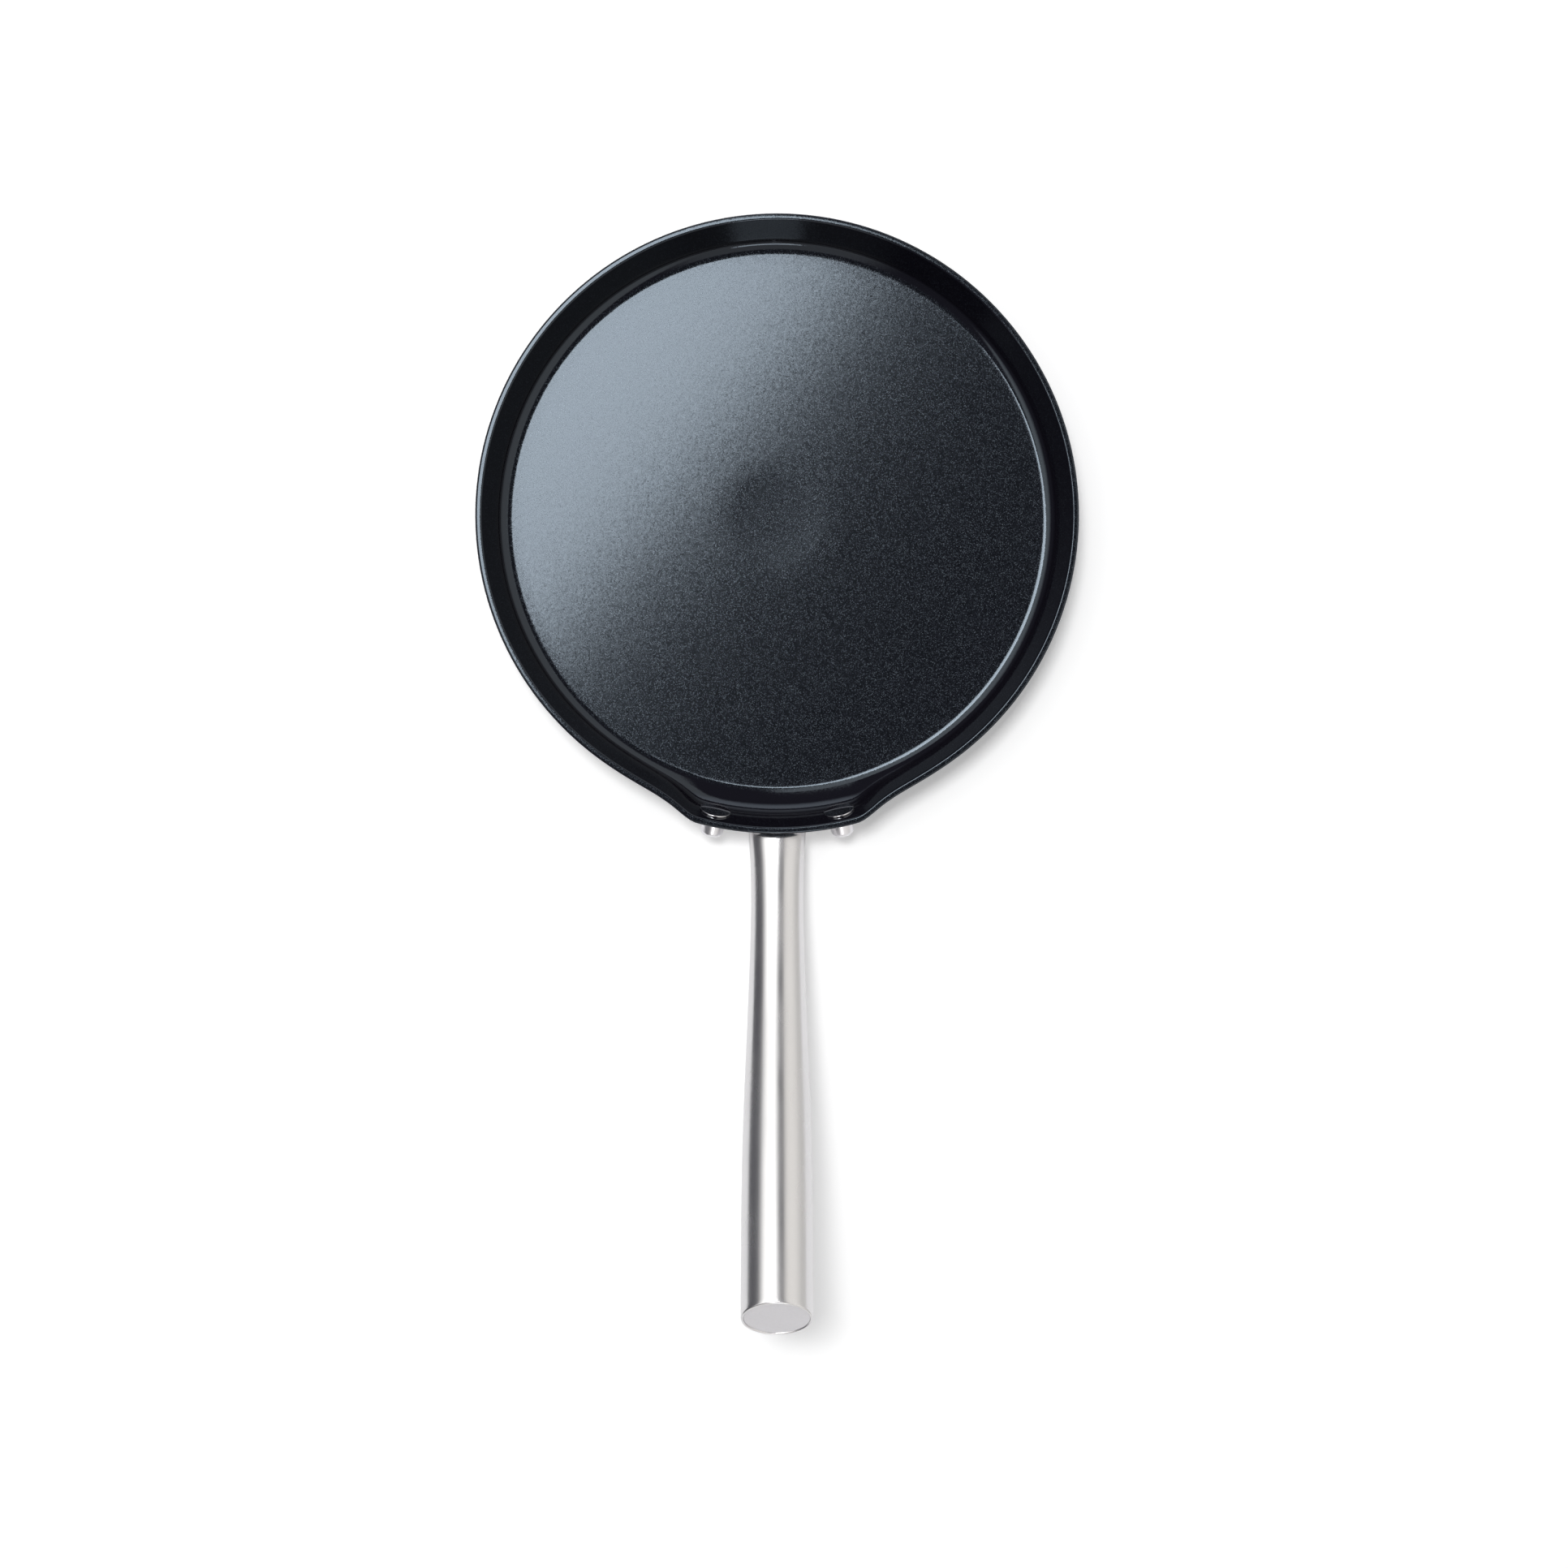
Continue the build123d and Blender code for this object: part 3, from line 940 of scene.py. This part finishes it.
def make_floor():
    """Plain white floor. It keeps the shadow, and glows a little for the camera and in gloss."""
    half = floor_half
    mesh = bpy.data.meshes.new("floor")
    corners = [(-half, -half, 0), (half, -half, 0), (half, half, 0), (-half, half, 0)]
    mesh.from_pydata(corners, [], [(0, 1, 2, 3)])
    floor = bpy.data.objects.new("floor", mesh)
    bpy.context.scene.collection.objects.link(floor)
    floor.location.z = -floor_drop
    material, shader = new_material("floor_paint")
    cloudy = stretched_noise(material, floor_cloud_scale, 1.0)
    join(material, mixed(material, cloudy, *floor_colours), shader.inputs["Base Color"])
    shader.inputs["Roughness"].default_value = floor_roughness
    shader.inputs["Specular IOR Level"].default_value = 0.0
    path = add_node(material, "ShaderNodeLightPath")
    glossy = path.outputs["Is Glossy Ray"]
    camera = path.outputs["Is Camera Ray"]
    seen = worked(material, "MULTIPLY_ADD", glossy, floor_glossy_share, camera)
    glow = worked(material, "MULTIPLY", seen, floor_glow)
    shader.inputs["Emission Color"].default_value = (1, 1, 1, 1)
    join(material, glow, shader.inputs["Emission Strength"])
    floor.data.materials.append(material)


def make_world():
    """Plain room: grey with pale panels for gloss, grey with a pale sky for the rest, and white
    for the camera.
    """
    world = bpy.data.worlds.new("room")
    bpy.context.scene.world = world
    world.use_nodes = True

    def number(operation, first, second=0.0):
        return worked(world, operation, first, second)

    def from_to(value, low, high):
        return rising(world, value, low, high)

    def until(value, low, high):
        return number("SUBTRACT", 1.0, from_to(value, low, high))

    def both(first, second):
        return number("MULTIPLY", first, second)

    def over(factor, under, colour):
        return mixed(world, factor, under, colour)

    place = add_node(world, "ShaderNodeTexCoord")
    split = add_node(world, "ShaderNodeSeparateXYZ")
    join(world, place.outputs["Generated"], split.inputs["Vector"])

    # Slopes away from straight up: to the right, ahead, to the front, sideways from the front,
    # along the lamp direction and across it
    height = number("MAXIMUM", split.outputs["Z"], least_height)
    right = number("DIVIDE", split.outputs["X"], height)
    ahead = number("DIVIDE", split.outputs["Y"], height)
    front = number("MULTIPLY", ahead, -1.0)
    aside = number("DIVIDE", number("ABSOLUTE", right), number("MAXIMUM", front, least_height))
    to_right, to_ahead = lamp_direction
    out = number("ADD", both(right, to_right), both(ahead, to_ahead))
    across = number("ADD", both(right, to_ahead), both(ahead, -to_right))

    left_panel = both(from_to(out, *left_panel_edge), until(right, *left_panel_right_end))
    left_panel = both(left_panel, until(ahead, *left_panel_far_end))
    left_panel = both(left_panel, from_to(right, *left_panel_left_end))
    front_panel = both(from_to(front, *front_panel_edge), until(aside, *front_panel_side))
    colour = over(from_to(right, *right_panel_edge), room_grey, right_panel_near)
    colour = over(from_to(right, *right_panel_dimming), colour, right_panel_far)
    colour = over(front_panel, colour, front_panel_colour)
    colour = over(left_panel, colour, left_panel_colour)
    colour = over(from_to(split.outputs["Y"], *far_panel_edge), colour, far_panel_colour)

    sky = both(from_to(out, *sky_near_edge), until(out, *sky_far_edge))
    sky = both(sky, until(number("ABSOLUTE", across), *sky_side))
    plain = over(sky, matt_grey, sky_colour)
    path = add_node(world, "ShaderNodeLightPath")
    colour = over(path.outputs["Is Glossy Ray"], plain, colour)
    colour = over(path.outputs["Is Camera Ray"], colour, camera_white)
    join(world, colour, world.node_tree.nodes["Background"].inputs["Color"])


def make_lamp(name, place, aim, size, radiance, turn=0.0, matt=True, gloss=True):
    """Soft rectangular lamp that faces a point. Its radiance is what it shows in a mirror."""
    light = bpy.data.lights.new(name, "AREA")
    light.shape = "RECTANGLE"
    light.size, light.size_y = size
    light.energy = lamp_watts * radiance * light.size * light.size_y
    lamp = bpy.data.objects.new(name, light)
    bpy.context.scene.collection.objects.link(lamp)
    lamp.location = place
    lamp.rotation_euler = (Vector(aim) - Vector(place)).to_track_quat("-Z", "Y").to_euler()
    lamp.rotation_euler.rotate_axis("Z", turn)
    lamp.visible_camera = False
    lamp.visible_diffuse = matt
    lamp.visible_glossy = gloss


def below(place):
    """Point on the floor straight under another."""
    return (place[0], place[1], 0)


def make_lights():
    """Far lamps to the upper left, one for shadow and one for gloss, and a low one in front."""
    turn = math.radians(lamp_turn)
    make_lamp(
        "shadow_lamp",
        shadow_lamp_place,
        below(shadow_lamp_place),
        shadow_lamp_size,
        shadow_lamp_radiance,
        turn,
        gloss=False,
    )
    make_lamp(
        "soft_lamp",
        soft_lamp_place,
        below(soft_lamp_place),
        soft_lamp_size,
        soft_lamp_radiance,
        turn,
        matt=False,
    )
    make_lamp(
        "low_lamp", low_lamp_place, low_lamp_aim, low_lamp_size, low_lamp_radiance, matt=False
    )


def make_camera():
    """Camera straight above, at the photograph's place and field of view."""
    data = bpy.data.cameras.new("camera")
    data.sensor_width = camera_sensor
    data.lens = camera_lens
    camera = bpy.data.objects.new("camera", data)
    bpy.context.scene.collection.objects.link(camera)
    camera.location = camera_place
    bpy.context.scene.camera = camera


make_camera()
make_floor()
make_world()
make_lights()
pan_shell = make_pan()
tube_shell = make_tube()
end_cap = make_cap()
rivet_pieces = [
    make_rivet("rivet_one", "rivet_left", -1),
    make_rivet("rivet_two", "rivet_right", 1),
]
dress(pan_shell, tube_shell, end_cap, rivet_pieces)
bpy.context.scene.view_settings.view_transform = "Standard"
